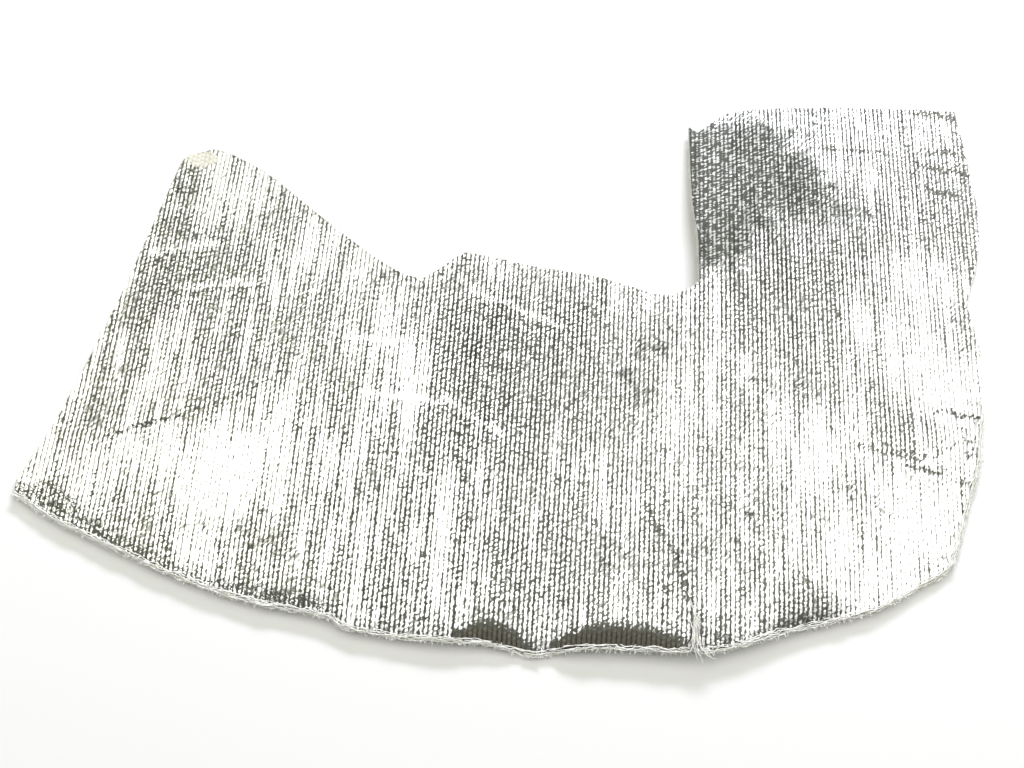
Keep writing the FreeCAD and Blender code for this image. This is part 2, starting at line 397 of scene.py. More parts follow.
def foil_material(cloth):
    """Bonded aluminium foil: bright on the cords, painted shade in the valleys, creased, and rubbed off at the
    peak.
    """
    material, tree, shader = surface("bonded_foil")
    across, along, crown, wave = cord_fields(tree, cloth)
    valley, dull_and_shade, rim, lip = [tree.painted(name) for name in ("valley", "dull_and_shade", "rim", "lip")]
    place = tree.place()
    x, y, _ = tree.parts(place)
    patch = tree.noise(place, 22.0, 2.0)
    speck = tree.noise(place, 780.0, 1.0)
    shift_x, shift_y = [part - 0.5 for part in tree.parts(tree.noise(place, 130.0, 2.0, out="Color"))[:2]]

    furrow = (across + 0.5).math("FLOOR")
    slow = tree.flat_noise(furrow * 7.31, along * 0.024)
    group = tree.flat_noise(across * 0.30, along * 0.014)
    fast = tree.flat_noise(across * 0.26 + along * 0.19, along * 0.52 - across * 1.6)
    slant = tree.flat_noise(x * 190.0 + y * 90.0, y * 780.0 - x * 370.0)

    broken = ((fast - 0.5) * 4.0 + 0.75).clamp(0.0, 1.2)
    torn = (speck - 0.5) * 0.004
    crease_x, crease_y = x + shift_x * 0.006 + torn, y + shift_y * 0.009 - torn
    crease_shade, groove = 0.0, 0.0
    # Painted shade along the creases, and dents where they are deep.
    for start, end, width, depth, opening in CREASES:
        mark = 1.0 - tree.smooth(near_line(crease_x, crease_y, start, end), 0.0, width)
        crease_shade = mark * broken * opening + crease_shade
        if depth >= DEEP_CREASE:
            groove = mark * depth + groove

    # Painted shade in the valleys, as wide as the gap between the cords.
    fringe = tree.smooth(lip, -0.30, 0.0) * (1.0 - tree.smooth(lip, 0.15, 0.45))
    gap = 0.60 + (slow - 0.5) * 1.3 + (group - 0.5) * 1.2 + (patch - 0.5) * 1.3 + valley
    gap = gap.clamp(0.13, 0.76 + valley.math("MAXIMUM", 0.0) * 0.14)
    gap = gap + (fast - 0.5) * 0.9 + (slant - 0.5) * (0.6 + gap) + (speck - 0.5) * 1.5 + fringe * 0.35 + rim * 0.15
    line = 1.0 - tree.smooth(crown - gap - crease_shade + wave * 0.12, -0.13, 0.13)

    # Painted shade with short dashes of painted glint where the foil is rougher, and a net of crinkles by the cut
    # edges, dented and with painted shade.
    glint_dash = tree.smooth(crown * 0.7 + (slant - 0.5) * 2.3 + (speck - 0.5) * 0.8, 0.56, 0.74)
    ragged = (patch - 0.5) * 1.3 + (shift_x + shift_y) * 0.7 + (fast - 0.5) * 0.9 + (slant - 0.5) * 0.7
    dull_and_shade_mask = tree.smooth(dull_and_shade + ragged, 0.17, 0.50)
    scratch = abs(tree.flat_noise(x * 210.0 - y * 90.0, y * 600.0 + x * 255.0) - 0.5)
    net = abs(tree.noise(place, 330.0, 1.0) - 0.5)
    crumple_and_shade = 1.0 - tree.smooth(scratch.math("MINIMUM", net * 1.2), 0.022, 0.045)
    crumple_and_shade = crumple_and_shade * tree.smooth(rim + (patch - 0.5) * 0.8, 0.2, 0.5)
    line = tree.mix_number(dull_and_shade_mask, line, 1.0 - glint_dash).math("MAXIMUM", crumple_and_shade)

    # Colours: painted lip shade, paler painted valley shade to the right, and painted warm light to the left.
    lip_shade_mask = tree.smooth(lip + (fast - 0.5) * 0.6 + (speck - 0.5) * 0.4, -0.03, 0.05)
    ribs = tree.smooth(crown + (speck - 0.5) * 1.2, 0.2, 0.9)
    shaded = tree.mix(ribs, LIP_SHADE, rgb(cloth.lip_shade_colour))
    bright = tree.mix(dull_and_shade_mask, rgb(cloth.foil_colour), rgb(cloth.shaded_weave_colour))
    line = line * (1.0 - lip_shade_mask * (1.0 - fringe))
    # The painted valley shade is paler to the right, where more light falls.
    pale = rgb(c * 1.35 for c in cloth.painted_shade_colour)
    faded = tree.smooth(x + (patch - 0.5) * 0.2, -0.06, 0.10) * (1.0 - dull_and_shade_mask)
    dark = tree.mix(faded, rgb(cloth.painted_shade_colour), pale)
    colour = tree.mix(line, tree.mix(lip_shade_mask, bright, shaded), dark)
    # Painted warm light, stronger to the left.
    warm_light = tree.smooth(x * -1.0 + (patch - 0.5) * 0.3, -0.05, 0.25) * 0.6
    colour = tree.mix(warm_light, colour, WARM_LIGHT_TINT, "MULTIPLY")

    bare_x = (x - BARE_SPOT[0]) * 95.0
    bare_y = (y - BARE_SPOT[1]) * 170.0
    bare = 1.0 - tree.smooth((bare_x * bare_x + bare_y * bare_y).math("SQRT") + (speck - 0.5) * 1.1, 0.75, 1.0)
    bare_colour = tree.mix(0.25 + wave * 0.25, rgb(cloth.cloth_colour), BARE_SHADE)

    weft = wave * 0.055 * (0.3 + crown * 0.7)
    height = weft + fast * 0.18 + speck * 0.12 + patch * 0.3 - groove - crumple_and_shade * 0.3
    tree.feed(shader, {
        "Base Color": tree.mix(bare, colour, bare_colour),
        "Metallic": 1.0 - bare,
        "Roughness": 0.27 + line * 0.16 + speck * 0.10 + bare * 0.42 + dull_and_shade_mask * 0.15,
        "Normal": bumps(tree, height),
    })
    return material


def bumps(tree, height):
    """Surface direction over a height in millimetres."""
    return tree.output("ShaderNodeBump", sockets={"Strength": 1.0, "Distance": 0.001, "Height": height})


def cloth_material(cloth):
    """Bare woven glass cloth of the back and of the cut edges."""
    material, tree, shader = surface("glass_cloth")
    _, _, crown, wave = cord_fields(tree, cloth)
    place = tree.place()
    fuzz = tree.noise(place, 900.0, 3.0)
    stain = tree.noise(place, 14.0, 4.0)
    thread = (crown * 0.7 + 0.3) * (0.6 + wave * 0.4)
    shade = tree.smooth(thread + (fuzz - 0.5) * 0.5, 0.05, 0.75)
    colour = tree.mix(shade, THREAD_SHADE, rgb(cloth.cloth_colour))
    tree.feed(shader, {
        "Base Color": tree.mix(tree.smooth(stain, 0.45, 0.75) * 0.35, colour, STAIN),
        "Roughness": 0.72 + fuzz * 0.2,
        "Normal": bumps(tree, thread * 0.35 + fuzz * 0.12),
    })
    return material


def yarn_material():
    """White glass yarn that has come loose."""
    material, tree, shader = surface("loose_yarn")
    tone = tree.noise(tree.place(), 260.0, 2.0)
    colour = tree.mix(tree.smooth(tone, 0.35, 0.65), YARN_LIGHT, YARN_SHADE)
    tree.feed(shader, {"Base Color": colour, "Roughness": 0.45 + tone * 0.25})
    return material


def fading(distance, reach):
    """1 at no distance, falling to 0 at the reach, level at both ends."""
    share = np.minimum(np.abs(distance) / reach, 1.0)
    return (1 - share * share) ** 2


EVENING = (-0.0036, -0.0012, 0.0012, 0.0036)  # places across the sheet over which a height is evened out


class SheetSolid:
    """Reads the outline and the lie of the sheet from its CAD solid."""

    def __init__(self, node):
        mesh = node.data
        self.tree = BVHTree.FromPolygons([v.co for v in mesh.vertices], [p.vertices[:] for p in mesh.polygons])

    def height(self, x, y):
        """Height of the corded face over one place, or None off the sheet."""
        hit = self.tree.ray_cast(Vector((x, y, 1.0)), Vector((0.0, 0.0, -1.0)))[0]
        return None if hit is None else hit.z

    def last_on(self, path, inner, outer):
        """Last share of a path from a place on the sheet to a place off it."""
        for _ in range(18):
            middle = (inner + outer) / 2
            if self.height(*path(middle)) is None:
                outer = middle
            else:
                inner = middle
        return inner

    def back_height(self, x, y):
        """Height of the plain back at one place, evened out over a few cords."""
        hits = [self.tree.ray_cast(Vector((x + off, y, -1.0)), Vector((0.0, 0.0, 1.0)))[0] for off in EVENING]
        found = [hit.z for hit in hits if hit is not None]
        if not found:
            found = [self.tree.find_nearest(Vector((x, y, 0.0)))[0].z]
        return sum(found) / len(found)


class SheetPlan:
    """Columns along the cords and rows across them, in the plan of the sheet."""

    def __init__(self, solid, cloth):
        self.solid = solid
        self.cloth = cloth
        self.left = cad_box[0][0] + 0.0001
        self.right = solid.last_on(lambda x: (x, cloth.foot_level), 0.20, 0.30)
        self.levels = np.linspace(cloth.foot_level, RIGHT_TOP, 90)
        self.right_edge = [solid.last_on(lambda x: (x, y), 0.20, 0.30) - self.right for y in self.levels]
        self.ear_levels = np.linspace(cloth.bay_level + 0.002, EAR_TOP, 40)
        self.ear_edge = [solid.last_on(lambda x: (x, y), 0.15, 0.05) - cloth.ear_left for y in self.ear_levels]
        self.wing_cords = round((cloth.ear_left - self.left) / cloth.cord_pitch)
        self.ear_cords = round((self.right - cloth.ear_left) / cloth.cord_pitch)

    def bent(self, x, y):
        """Place across the sheet of a column, which follows the side edges where it is near them."""
        right = np.interp(y, self.levels, self.right_edge, 0.0) * fading(self.right - x, RIGHT_REACH)
        left = np.interp(y, self.ear_levels, self.ear_edge, 0.0) * fading(x - self.cloth.ear_left, EAR_REACH)
        return x + right + left

    def columns(self):
        """Places of the columns, with a valley at the ear's left edge, and the number of that column."""
        edge = self.cloth.ear_left
        wing, ear = self.wing_cords * self.cloth.columns, self.ear_cords * self.cloth.columns
        wing_xs, ear_xs = np.linspace(self.left, edge, wing + 1), np.linspace(edge, self.right, ear + 1)
        return np.concatenate([wing_xs, ear_xs[1:]]), wing

    def cord_number(self, x):
        """Number of the cord at a place across the sheet, with its share of the way to the next."""
        edge = self.cloth.ear_left
        wing_pitch, ear_pitch = (edge - self.left) / self.wing_cords, (self.right - edge) / self.ear_cords
        off = x - edge
        return self.wing_cords + np.where(off < 0, off / wing_pitch, off / ear_pitch)

    def inside(self, x):
        """Place across the sheet held just inside its side edges."""
        return min(max(x, self.left + 0.0001), self.right - 0.00015)

    def body_span(self, x):
        """Where one column of the body starts and ends along the cords."""
        cloth = self.cloth
        x = self.inside(x)
        share = (x - self.left) / (self.right - self.left)
        middle = cloth.tip_level * (1 - share) + 0.010 * share
        start = self.solid.last_on(lambda y: (x, y), middle, -0.25)
        if x > cloth.ear_left - 1e-6:
            return start, cloth.bay_level
        beyond = 0.25 if x < cloth.ear_left - 0.012 else cloth.bay_level + 0.004
        return start, self.solid.last_on(lambda y: (x, y), middle, beyond)

    def ear_span(self, x):
        """Where one column of the ear starts and ends along the cords."""
        x = min(max(x, self.cloth.ear_left + 0.0002), self.right - 0.00015)
        return self.cloth.bay_level, self.solid.last_on(lambda y: (self.bent(x, y), y), 0.06, 0.25)

    def patch(self, xs, spans, rows, bunching):
        """Places of a patch as an array of columns by rows by three."""
        points = np.empty((len(xs), rows + 1, 3))
        shares = np.linspace(0.0, 1.0, rows + 1) ** bunching
        for i, (x, (start, end)) in enumerate(zip(xs, spans)):
            ys = start + (end - start) * shares
            points[i, :, 0] = self.bent(x, ys)
            points[i, :, 1] = ys
            within = np.clip(ys, start + 0.0002, max(end - 0.0002, start + 0.0002))
            across = self.bent(self.inside(x), within)
            points[i, :, 2] = [self.solid.back_height(a, b) for a, b in zip(across, within)]
        points[:, :, 2] += self.cloth.thickness
        return points


def grid_faces(numbers):
    """Four-sided faces between the vertices of a grid, facing up."""
    corners = (numbers[:-1, :-1], numbers[1:, :-1], numbers[1:, 1:], numbers[:-1, 1:])
    return np.stack(corners, -1).reshape(-1, 4).tolist()


def skirt(fine, coarse):
    """Cut edge between a rim of the foil face and the rim of the back below it."""
    step = (len(fine) - 1) // (len(coarse) - 1)
    faces = []
    for k in range(len(coarse) - 1):
        upper = list(fine[k * step:(k + 1) * step + 1])
        faces.append([coarse[k], coarse[k + 1]] + upper[::-1])
    return faces


def facing(points):
    """Direction square to the sheet at each place of a patch."""
    square = np.cross(np.gradient(points, axis=0), np.gradient(points, axis=1))
    return square / np.linalg.norm(square, axis=2, keepdims=True)


def lay_out(plan):
    """Base mesh of the sheet with plain faces, and the rim of its foil face with the back's rim below it."""
    cloth = plan.cloth
    xs, ear_start = plan.columns()
    body = plan.patch(xs, [plan.body_span(x) for x in xs], cloth.body_rows, 1.35)
    ear = plan.patch(xs[ear_start:], [plan.ear_span(x) for x in xs[ear_start:]], cloth.ear_rows, 1.0)
    ear[:, 0] = body[ear_start:, -1]
    step = cloth.columns

    points, facings, up = [], [], []

    def keep(patch, square, side):
        """Adds a patch's vertices and gives back their numbers."""
        first = sum(len(p) for p in points)
        count = patch.shape[0] * patch.shape[1]
        points.append(patch.reshape(-1, 3))
        facings.append(square.reshape(-1, 3))
        up.append(np.full(count, side))
        return np.arange(first, first + count).reshape(patch.shape[:2])

    def under(patch):
        """The back below a patch, at the valleys only."""
        return np.maximum(patch[::step] - (0.0, 0.0, cloth.thickness), (-np.inf, -np.inf, BACK_CLEARANCE))

    body_square, ear_square = facing(body), facing(ear)
    body_top = keep(body, body_square, 1.0)
    ear_top = np.concatenate([body_top[ear_start:, -1:], keep(ear[:, 1:], ear_square[:, 1:], 1.0)], axis=1)
    body_back = keep(under(body), -body_square[::step], 0.0)
    ear_cord = ear_start // step
    ear_free = keep(under(ear)[:, 1:], -ear_square[::step, 1:], 0.0)
    ear_back = np.concatenate([body_back[ear_cord:, -1:], ear_free], axis=1)

    foil = grid_faces(body_top) + grid_faces(ear_top)
    back = [face[::-1] for face in grid_faces(body_back) + grid_faces(ear_back)]
    rims = [
        (body_top[:, 0], body_back[:, 0]),
        (body_top[-1], body_back[-1]),
        (ear_top[-1], ear_back[-1]),
        (ear_top[::-1, -1], ear_back[::-1, -1]),
        (ear_top[0, ::-1], ear_back[0, ::-1]),
        (body_top[ear_start::-1, -1], body_back[ear_cord::-1, -1]),
        (body_top[0, ::-1], body_back[0, ::-1]),
    ]
    walls = [face for fine, coarse in rims for face in skirt(fine, coarse)]

    places = np.concatenate(points)
    mesh = bpy.data.meshes.new("foil_cloth_sheet")
    mesh.from_pydata(places.tolist(), [], foil + back + walls)
    fields = {
        "across": plan.cord_number(places[:, 0]),
        "along": places[:, 1] * 1000.0,
        "up": np.concatenate(up),
        "valley": spotted(places, VALLEY_SPOTS),
        "dull_and_shade": spotted(places, DULL_AND_SHADE_SPOTS),
        "rim": near_rim(places, rims),
        "lip": under_lip(places, body[:, 0]),
    }
    for name, values in fields.items():
        mesh.attributes.new(name, "FLOAT", "POINT").data.foreach_set("value", values.astype(np.float32))
    square = np.concatenate(facings).astype(np.float32)
    mesh.attributes.new("square", "FLOAT_VECTOR", "POINT").data.foreach_set("vector", square.ravel())
    is_foil = np.zeros(len(mesh.polygons), bool)
    is_foil[:len(foil)] = True
    mesh.attributes.new("is_foil", "BOOLEAN", "FACE").data.foreach_set("value", is_foil)
    mesh.shade_smooth()
    mesh.validate()
    return mesh, rims, places


def spotted(places, spots):
    """How strongly each place lies in one of some round spots."""
    found = np.zeros(len(places))
    for x, y, radius, share in spots:
        found += share * fading(np.hypot(places[:, 0] - x, places[:, 1] - y), radius)
    return np.clip(found, -1.0, 1.0)


def near_rim(places, rims):
    """How crumpled each place is by the handling of the cut edge beside it."""
    edge = [(number, share) for (fine, _), share in zip(rims, RIM_HANDLING) for number in fine]
    along_front = np.interp(places[rims[0][0], 0], *zip(*FRONT_HANDLING))
    edge[:len(along_front)] = zip(rims[0][0], along_front * RIM_HANDLING[0])
    finder = KDTree(len(edge))
    for k, (number, _) in enumerate(edge):
        finder.insert(places[number], k)
    finder.balance()
    found = [finder.find(place) for place in places]
    shares = np.array([edge[k][1] for _, k, _ in found])
    distances = np.array([distance for _, _, distance in found])
    return np.maximum(1.0 - distances / (RIM_REACH * np.maximum(shares, 0.7)), 0.0) * shares


def under_lip(places, front):
    """How far each place lies inside a curled lip of the front edge, in centimetres, below 0 outside."""
    off = places[:, 1] - np.interp(places[:, 0], front[:, 0], front[:, 1])
    depth = np.full(len(places), -1.0)
    for x, half_width, reach in LIPS:
        share = 1.0 - ((places[:, 0] - x) / half_width) ** 2
        depth = np.where(share > 0.0, reach * np.maximum(share, 0.0) ** 0.6, depth)
    return np.clip((depth - off) / 0.010, -1.0, 1.0)


def geometry_tree(name, inputs):
    """New geometry tree, its Tree, its inputs by label, and its output node."""
    group = bpy.data.node_groups.new(name, "GeometryNodeTree")
    kinds = {"Geometry": "Geometry", **inputs}
    for label, kind in kinds.items():
        group.interface.new_socket(label, in_out="INPUT", socket_type="NodeSocket" + kind)
    group.interface.new_socket("Geometry", in_out="OUTPUT", socket_type="NodeSocketGeometry")
    tree = Tree(group.nodes, group.links)
    entry = tree.add("NodeGroupInput")
    return group, tree, {label: Value(tree, entry.outputs[label]) for label in kinds}, tree.add("NodeGroupOutput")


def placed(name, data):
    """New object in the scene."""
    holder = bpy.data.objects.new(name, data)
    bpy.context.scene.collection.objects.link(holder)
    return holder


def made(name, base, group, values):
    """Plain mesh object from a base mesh and a geometry tree with the values of its inputs."""
    scratch = placed(name + "_base", base)
    modifier = scratch.modifiers.new("build", "NODES")
    modifier.node_group = group
    sockets = {s.name: s.identifier for s in group.interface.items_tree if s.in_out == "INPUT"}
    for label, value in values.items():
        modifier[sockets[label]] = value
    depsgraph = bpy.context.evaluated_depsgraph_get()
    mesh = bpy.data.meshes.new_from_object(scratch.evaluated_get(depsgraph), depsgraph=depsgraph)
    scratch.modifiers.remove(modifier)
    bpy.data.objects.remove(scratch)
    if not mesh.polygons:
        raise RuntimeError(name + " came out empty")
    mesh.name = name
    return placed(name, mesh)


def end_as_yarn(tree, geometry, given, result):
    """Ends a geometry tree: plain geometry with nothing below the floor, made of the given yarn."""
    whole = tree.output("GeometryNodeRealizeInstances", sockets={0: geometry})
    x, y, z = tree.parts(tree.output("GeometryNodeInputPosition"))
    lifted = tree.vector(x, y, z.math("MAXIMUM", YARN_CLEARANCE))
    clear = tree.output("GeometryNodeSetPosition", sockets={"Geometry": whole, "Position": lifted})
    yarn = tree.output("GeometryNodeSetMaterial", sockets={"Geometry": clear, "Material": given["Yarn"]})
    tree.feed(result, {0: yarn})


def points_along(tree, given, step):
    """The lines of the base mesh as curves with points at even steps."""
    curves = tree.output("GeometryNodeMeshToCurve", sockets={"Mesh": given["Geometry"]})
    return tree.output("GeometryNodeResampleCurve", {"mode": "LENGTH"}, {"Curve": curves, "Length": step})


def tube(tree, curve, sides, radius, scale=1.0):
    """Closed tube along a curve."""
    ring = tree.output("GeometryNodeCurvePrimitiveCircle", sockets={"Resolution": sides, "Radius": radius})
    sockets = {"Curve": curve, "Profile Curve": ring, "Scale": scale, "Fill Caps": True}
    return tree.output("GeometryNodeCurveToMesh", sockets=sockets)


def cord_tree():
    """Geometry tree that raises the cords on the foil face and gives the sheet its two finishes."""
    inputs = dict.fromkeys(("Cord Height", "Cord Lean", "Crinkle", "Seed"), "Float")
    inputs.update(Foil="Material", Cloth="Material")
    group, tree, given, result = geometry_tree("Corded Foil", inputs)

    def noise(place, scale, detail):
        """Noise from -1 to 1 at a place."""
        sockets = {"Vector": place, "W": given["Seed"], "Scale": scale, "Detail": detail}
        return tree.output("ShaderNodeTexNoise", {"noise_dimensions": "4D"}, sockets) * 2.0 - 1.0

    across, along, up, valley = [tree.field(name) for name in ("across", "along", "up", "valley")]
    cord = across.math("FLOOR")
    share = across - cord
    by_cord = tree.vector(cord * 3.713, along * 0.024, cord * 1.37)
    by_band = tree.vector(cord * 0.31, along * 0.011, 5.0)
    lean = noise(by_cord, 1.0, 1.0) * 1.6 + noise(by_band, 1.0, 1.0) * 0.8
    level = (1.0 + noise(by_cord, 1.7, 0.0) * 1.2).math("MAXIMUM", 0.3)
    crown = 1.0 - abs(share * 2.0 - 1.0) ** 2.6
    swing = (share * math.tau).math("SINE")
    relief = 1.0 + valley * 0.5
    position = tree.output("GeometryNodeInputPosition")
    dents = noise(position, 38.0, 2.0) + noise(position, 110.0, 1.0) * 0.35
    rise = given["Cord Height"] * level * crown * relief
    rise = rise + given["Cord Lean"] * lean * swing * relief
    rise = (rise + given["Crinkle"] * dents) * up
    square = tree.field("square", "FLOAT_VECTOR")
    offset = tree.output("ShaderNodeVectorMath", {"operation": "SCALE"}, {0: square, "Scale": rise})
    moved = tree.output("GeometryNodeSetPosition", sockets={"Geometry": given["Geometry"], "Offset": offset})
    whole = tree.output("GeometryNodeRealizeInstances", sockets={0: moved})
    cloth = tree.output("GeometryNodeSetMaterial", sockets={"Geometry": whole, "Material": given["Cloth"]})
    is_foil = tree.field("is_foil", "BOOLEAN")
    sockets = {"Geometry": cloth, "Selection": is_foil, "Material": given["Foil"]}
    tree.feed(result, {0: tree.output("GeometryNodeSetMaterial", sockets=sockets)})
    return group


def fray_tree():
    """Geometry tree that sets short bent fibres along a rim, pointing away from the sheet."""
    inputs = {"Spacing": "Float", "Length": "Float", "Radius": "Float", "Seed": "Int", "Yarn": "Material"}
    group, tree, given, result = geometry_tree("Frayed Edge", inputs)

    def chance(low, high, shift):
        """Random number for each fibre."""
        sockets = {2: low, 3: high, "Seed": given["Seed"] + shift}
        return tree.output("FunctionNodeRandomValue", {"data_type": "FLOAT"}, sockets, out=1)

    fibres = tree.add("GeometryNodeJoinGeometry")
    for bow, climb in FIBRE_BENDS:
        bends = {"Start": (-0.3, 0.0, 0.0), "Middle": (0.5, bow, 0.12), "End": (1.0, bow * 1.6, climb)}
        path = tree.output("GeometryNodeCurveQuadraticBezier", sockets={"Resolution": 3, **bends})
        fibre = tube(tree, path, 3, given["Radius"] / given["Length"])
        tree.feed(fibres, {0: tree.output("GeometryNodeGeometryToInstance", sockets={0: fibre})})

    outward = tree.field("outward", "FLOAT_VECTOR")
    turn = tree.output("FunctionNodeAlignRotationToVector", {"axis": "X"}, {"Vector": outward})
    swing = tree.vector(chance(-3.1, 3.1, 1), chance(-0.5, 0.5, 2), chance(-0.9, 0.9, 3) * tree.field("wild"))
    local = tree.output("FunctionNodeEulerToRotation", sockets={0: swing})
    kinds = {4: 0, 5: len(FIBRE_BENDS) - 1, "Seed": given["Seed"]}
    sockets = {
        "Points": points_along(tree, given, given["Spacing"]),
        "Instance": fibres.outputs[0],
        "Pick Instance": True,
        "Instance Index": tree.output("FunctionNodeRandomValue", {"data_type": "INT"}, kinds, out=2),
        "Rotation": tree.output("FunctionNodeRotateRotation", {"rotation_space": "LOCAL"}, {0: turn, 1: local}),
        "Scale": given["Length"] * tree.field("fullness") * chance(0.35, 1.0, 4),
    }
    end_as_yarn(tree, tree.output("GeometryNodeInstanceOnPoints", sockets=sockets), given, result)
    return group


def strand_tree():
    """Geometry tree that makes a loose, uneven strand along each line of the base mesh."""
    inputs = {"Radius": "Float", "Waver": "Float", "Step": "Float", "Seed": "Float", "Yarn": "Material"}
    group, tree, given, result = geometry_tree("Loose Strands", inputs)
    place = tree.output("GeometryNodeInputPosition")
    strand = tree.field("strand")

    def noise(shift, sockets, out=0):
        """Noise from 0 to 1 along each strand."""
        sockets = {"Vector": place, "W": given["Seed"] + strand * shift, **sockets}
        return tree.output("ShaderNodeTexNoise", {"noise_dimensions": "4D"}, sockets, out=out)

    drift = noise(7.3, {"Scale": 170.0, "Detail": 2.0}, "Color")
    centred = tree.output("ShaderNodeVectorMath", {"operation": "SUBTRACT"}, {0: drift, 1: (0.5, 0.5, 0.5)})
    waver = tree.output("ShaderNodeVectorMath", {"operation": "SCALE"}, {0: centred, "Scale": given["Waver"]})
    fine = points_along(tree, given, given["Step"])
    moved = tree.output("GeometryNodeSetPosition", sockets={"Geometry": fine, "Offset": waver})
    plump = (noise(3.1, {"Scale": 320.0}) * 2.8 - 0.75).math("MAXIMUM", 0.08)
    sockets = {"Geometry": tube(tree, moved, 5, given["Radius"], plump)}
    end_as_yarn(tree, tree.output("GeometryNodeSetShadeSmooth", sockets=sockets), given, result)
    return group


def line_mesh(name, lines, fields):
    """Mesh of open lines with numbers and directions at their points."""
    points, edges = [], []
    for line in lines:
        first = len(points)
        points += [tuple(p) for p in line]
        edges += [(k, k + 1) for k in range(first, len(points) - 1)]
    mesh = bpy.data.meshes.new(name)
    mesh.from_pydata(points, edges, [])
    for label, values in fields.items():
        values = np.asarray(values, np.float32)
        kind, slot = ("FLOAT_VECTOR", "vector") if values.ndim == 2 else ("FLOAT", "value")
        mesh.attributes.new(label, kind, "POINT").data.foreach_set(slot, values.ravel())
    return mesh


def belongs(piece):
    """Sets a finished piece on the sheet's body, in place of the plain solid."""
    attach(piece, "root")
    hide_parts("heat_shield")
    return piece


sheet_layout = {}


class LaySheet(bpy.types.Operator):
    """Lay the corded, foil-faced cloth where the solid lies"""

    bl_idname = "heat_shield.lay_sheet"
    bl_label = "Lay the Sheet"

    def execute(self, context):
        cloth = context.scene.shield_cloth
        plan = SheetPlan(SheetSolid(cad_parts["heat_shield"]), cloth)
        mesh, rims, places = lay_out(plan)
        values = {
            "Cord Height": cloth.cord_height,
            "Cord Lean": cloth.cord_lean,
            "Crinkle": cloth.crinkle,
            "Seed": float(cloth.seed),
            "Foil": foil_material(cloth),
            "Cloth": cloth_material(cloth),
        }
        piece = belongs(made("foil_cloth_sheet", mesh, cord_tree(), values))
        piece.data.set_sharp_from_angle(angle=SHARP_ANGLE)
        sheet_layout.update(rims=rims, places=places, piece=piece)
        return {"FINISHED"}


class FrayEdges(bpy.types.Operator):
    """Fray the cut edges of the cloth"""

    bl_idname = "heat_shield.fray_edges"
    bl_label = "Fray the Edges"

    def execute(self, context):
        cloth, fray = context.scene.shield_cloth, context.scene.shield_fray
        places, rims = sheet_layout["places"], sheet_layout["rims"]
        yarn = yarn_material()
        lines, outward, fullness, wild = [], [], [], []
        for k, (fine, _) in enumerate(rims):
            sunk, climb, full, free = SIDE_FRAY if k else FRONT_FRAY
            upper = places[fine]
            ahead = np.gradient(upper[:, :2], axis=0)
            away = np.stack([ahead[:, 1], -ahead[:, 0]], 1)
            away /= np.maximum(np.linalg.norm(away, axis=1, keepdims=True), 1e-9)
            lines.append(upper - np.array((0.0, 0.0, cloth.thickness * sunk)))
            outward.append(np.column_stack([away, np.full(len(away), climb)]))
            fullness.append(np.full(len(upper), full))
            wild.append(np.full(len(upper), free))
        fields = {"outward": outward, "fullness": fullness, "wild": wild}
        base = line_mesh("rim_lines", lines, {name: np.concatenate(field) for name, field in fields.items()})
        values = {"Spacing": fray.spacing, "Length": fray.length, "Radius": fray.radius}
        values.update({"Seed": cloth.seed, "Yarn": yarn})
        fibres = belongs(made("edge_fibres", base, fray_tree(), values))

        front = lines[0]
        strands = [
            front + np.column_stack([outward[0][:, :2] * out, np.full(len(front), lift)])
            for out, lift in FRONT_STRANDS
        ]
        for line in SLIT_STRANDS:
            path = np.array(line)
            for point in path:
                # The nearest place in plan, and of two the upper one.
                ground = np.argmin(np.hypot(places[:, 0] - point[0], places[:, 1] - point[1]) - places[:, 2] * 0.1)
                point[2] = max(places[ground, 2] + point[2], STRAND_CLEARANCE)
            strands.append(path)
        numbers = np.concatenate([np.full(len(path), float(k)) for k, path in enumerate(strands)])
        values = {"Radius": fray.yarn_radius, "Waver": STRAND_WAVER, "Step": STRAND_STEP}
        values.update({"Seed": float(cloth.seed), "Yarn": yarn})
        base = line_mesh("strand_lines", strands, {"strand": numbers})
        loose = belongs(made("loose_strands", base, strand_tree(), values))
        return {"FINISHED"}


def lamp(name, place, target, size, level, colour):
    """Soft rectangular lamp of a given brightness and colour that points at a target."""
    light = bpy.data.lights.new(name, "AREA")
    light.shape = "RECTANGLE"
    light.size, light.size_y = size
    light.energy = level * LAMP_POWER * size[0] * size[1]
    light.color = colour
    holder = placed(name, light)
    holder.location = place
    holder.rotation_euler = (Vector(target) - Vector(place)).to_track_quat("-Z", "Y").to_euler()


def shown_ray(tree):
    """1 for what the camera sees, straight or in a mirror, and 0 for the light that falls on the object."""
    seen, mirrored, through = [
        tree.output("ShaderNodeLightPath", out=name)
        for name in ("Is Camera Ray", "Is Glossy Ray", "Is Transmission Ray")
    ]
    return seen.math("MAXIMUM", mirrored).math("MAXIMUM", through)


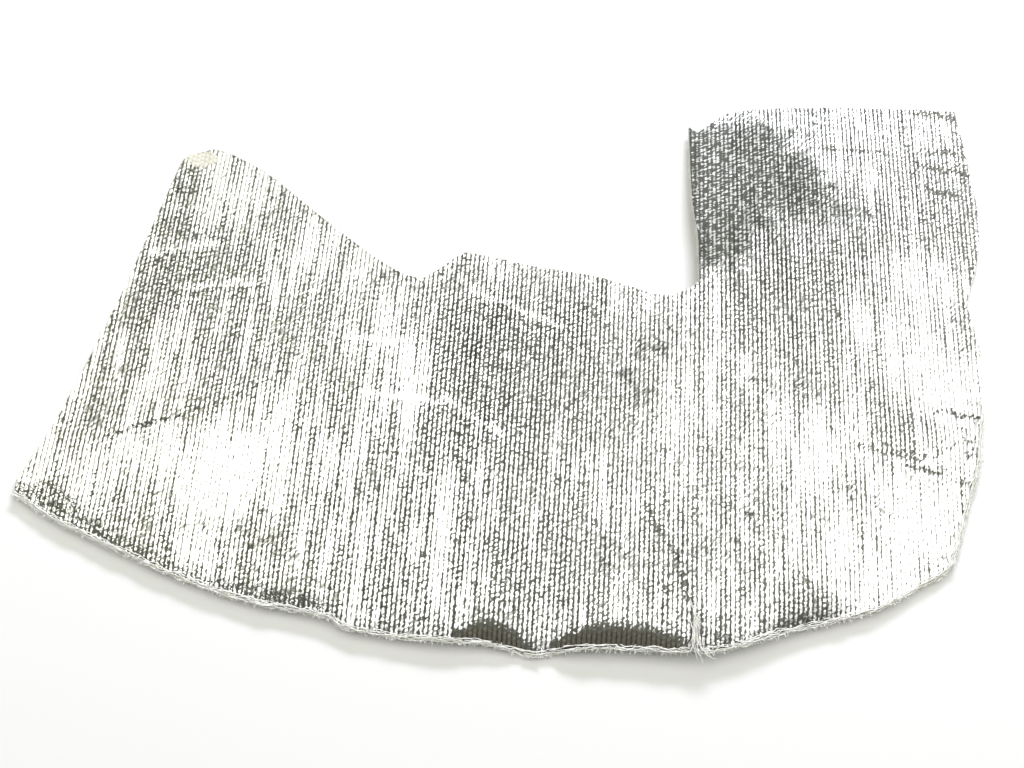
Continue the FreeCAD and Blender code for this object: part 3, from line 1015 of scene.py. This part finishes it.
class SetStage(bpy.types.Operator):
    """Set the floor, the soft light and the camera"""

    bl_idname = "heat_shield.set_stage"
    bl_label = "Set the Stage"

    def execute(self, context):
        scene, stage = context.scene, context.scene.shield_stage
        material, tree, shader = surface("pale_floor")
        place = tree.place()
        cloud = tree.noise(place, 1.3, 2.0)
        tint = rgb(c * 0.985 for c in stage.floor_colour)
        colour = tree.mix(cloud, rgb(stage.floor_colour), tint)
        tree.feed(shader, {"Base Color": colour, "Roughness": 0.85, "Specular IOR Level": 0.1})
        x, y, _ = tree.parts(place)
        far = tree.smooth((x * x + y * y).math("SQRT"), *FLOOR_FADE) * shown_ray(tree)
        glow = tree.output("ShaderNodeEmission", sockets={"Color": rgb(stage.backdrop_colour)})
        faded = tree.output("ShaderNodeMixShader", sockets={0: far, 1: shader.outputs[0], 2: glow})
        tree.feed(tree.nodes["Material Output"], {0: faded})
        mesh = bpy.data.meshes.new("floor")
        mesh.from_pydata([(-6, -6, 0), (6, -6, 0), (6, 6, 0), (-6, 6, 0)], [], [(0, 1, 2, 3)])
        mesh.materials.append(material)
        floor = placed("floor", mesh)
        floor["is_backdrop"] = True

        world = bpy.data.worlds.new("dim_room")
        scene.world = world
        world.use_nodes = True
        room = Tree(world.node_tree.nodes, world.node_tree.links)
        sky = room.mix(shown_ray(room), rgb(stage.room_colour), rgb(stage.backdrop_colour))
        room.feed(room.nodes["Background"], {"Color": sky})

        lamp("key_lamp", (0.0, 0.19, 1.25), (0.0, 0.19, 0.0), (3.0, 1.25), stage.key_level, stage.key_colour)
        lamp("back_lamp", (0.40, 1.80, 1.20), (0.0, 0.0, 0.0), (1.0, 0.30), stage.back_level, stage.back_colour)

        camera = bpy.data.cameras.new("camera")
        camera.sensor_width = 36.0
        camera.sensor_fit = "HORIZONTAL"
        camera.lens = stage.lens
        camera.clip_start = 0.01
        holder = placed("camera", camera)
        turn, down = stage.camera_azimuth, stage.camera_elevation
        forward = Vector((-math.sin(turn) * math.cos(down), math.cos(turn) * math.cos(down), -math.sin(down)))
        holder.location = stage.camera_place
        holder.rotation_euler = forward.to_track_quat("-Z", "Y").to_euler()
        scene.camera = holder
        scene.view_settings.view_transform = "Standard"
        return {"FINISHED"}


class ShieldPanel(bpy.types.Panel):
    """Sizes, colours and steps of the heat shield"""

    bl_idname = "VIEW3D_PT_heat_shield"
    bl_label = "Heat Shield"
    bl_space_type = "VIEW_3D"
    bl_region_type = "UI"
    bl_category = "Heat Shield"

    def draw(self, context):
        for name in ("shield_cloth", "shield_fray", "shield_stage"):
            settings = getattr(context.scene, name)
            column = self.layout.column(align=True)
            for label in settings.__annotations__:
                column.prop(settings, label)
        for step in STEPS:
            self.layout.operator(step.bl_idname)


SETTINGS = {"shield_cloth": ClothSettings, "shield_fray": FraySettings, "shield_stage": StageSettings}
STEPS = (LaySheet, FrayEdges, SetStage)


def register():
    """Adds the settings, the steps and the panel."""
    for kind in (*SETTINGS.values(), *STEPS, ShieldPanel):
        bpy.utils.register_class(kind)
    for name, kind in SETTINGS.items():
        setattr(bpy.types.Scene, name, PointerProperty(type=kind))


def unregister():
    """Takes the settings, the steps and the panel away."""
    for name in SETTINGS:
        delattr(bpy.types.Scene, name)
    for kind in (ShieldPanel, *reversed(STEPS), *reversed(SETTINGS.values())):
        bpy.utils.unregister_class(kind)


def main():
    """Builds the heat shield and its stage."""
    register()
    bpy.ops.heat_shield.lay_sheet()
    bpy.ops.heat_shield.fray_edges()
    bpy.ops.heat_shield.set_stage()
    boxes = {"cad": cad_box, "visual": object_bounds()}
    {name: [list(corner) for corner in box] for name, box in boxes.items()}


if __name__ == "__main__":
    main()
